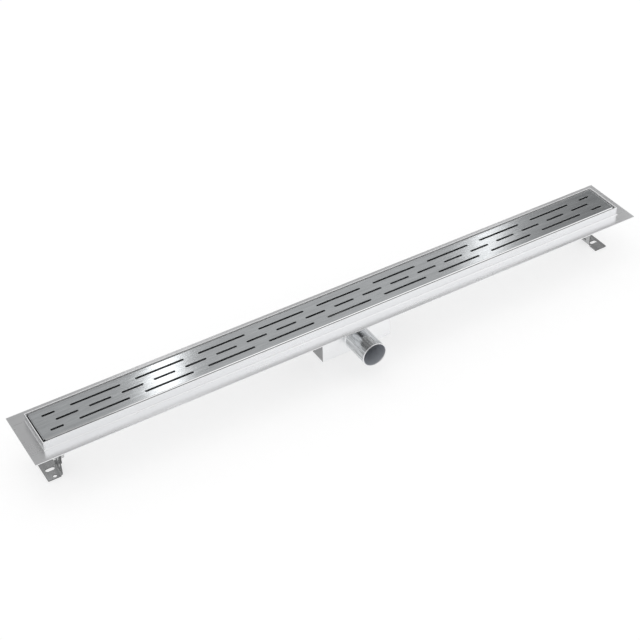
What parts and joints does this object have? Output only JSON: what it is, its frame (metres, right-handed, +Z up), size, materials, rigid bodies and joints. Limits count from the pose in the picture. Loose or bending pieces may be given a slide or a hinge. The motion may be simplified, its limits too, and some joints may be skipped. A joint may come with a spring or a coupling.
{
  "type": "linear shower drain",
  "caption": "Stainless linear shower drain: slotted cover in a raised frame with tiling flange, shallow trough, sump with side outlet and water trap, height-adjustable feet.",
  "frame": {"origin": "midway between the two floor-fixing slots of the feet, on the plane that the feet stand on", "axes": "+X along the drain, the outlet points to -Y, +Z up through the cover"},
  "size_m": [1.042, 0.139, 0.087],
  "materials": {
    "channel_steel": "pale satin stainless sheet",
    "cover_steel": "brushed stainless sheet",
    "pipe_steel": "bright drawn stainless tube",
    "trap_steel": "plain rolled stainless sheet",
    "bracket_steel": "dull rolled sheet",
    "screw_steel": "bright fasteners",
    "black_rubber": "matte rubber"
  },
  "bodies": {
    "channel": {"channel_body": "channel_steel", "end_plate_left": "channel_steel", "end_plate_right": "channel_steel", "sump_box": "channel_steel", "outlet_pipe": "pipe_steel", "cover_grate": "cover_steel", "cover_support_1": "trap_steel", "cover_support_2": "trap_steel", "cover_support_3": "trap_steel", "cover_support_4": "trap_steel", "support_pads": "black_rubber", "trap_weir": "trap_steel", "trap_hood": "trap_steel", "trap_seal": "black_rubber", "trap_handle": "trap_steel", "hanger_left": "bracket_steel", "hanger_right": "bracket_steel", "clamp_bolts": "screw_steel", "clamp_nuts": "screw_steel", "clamp_washers": "screw_steel"},
    "foot_left": {"foot_left": "bracket_steel"},
    "foot_right": {"foot_right": "bracket_steel"}
  },
  "joints": [
    {"name": "foot_left_height", "type": "slide", "parent": "channel", "child": "foot_left", "axis": [0, 0, 1], "range_m": [-0.01, 0.01]},
    {"name": "foot_right_height", "type": "slide", "parent": "channel", "child": "foot_right", "axis": [0, 0, 1], "range_m": [-0.01, 0.01]}
  ]
}
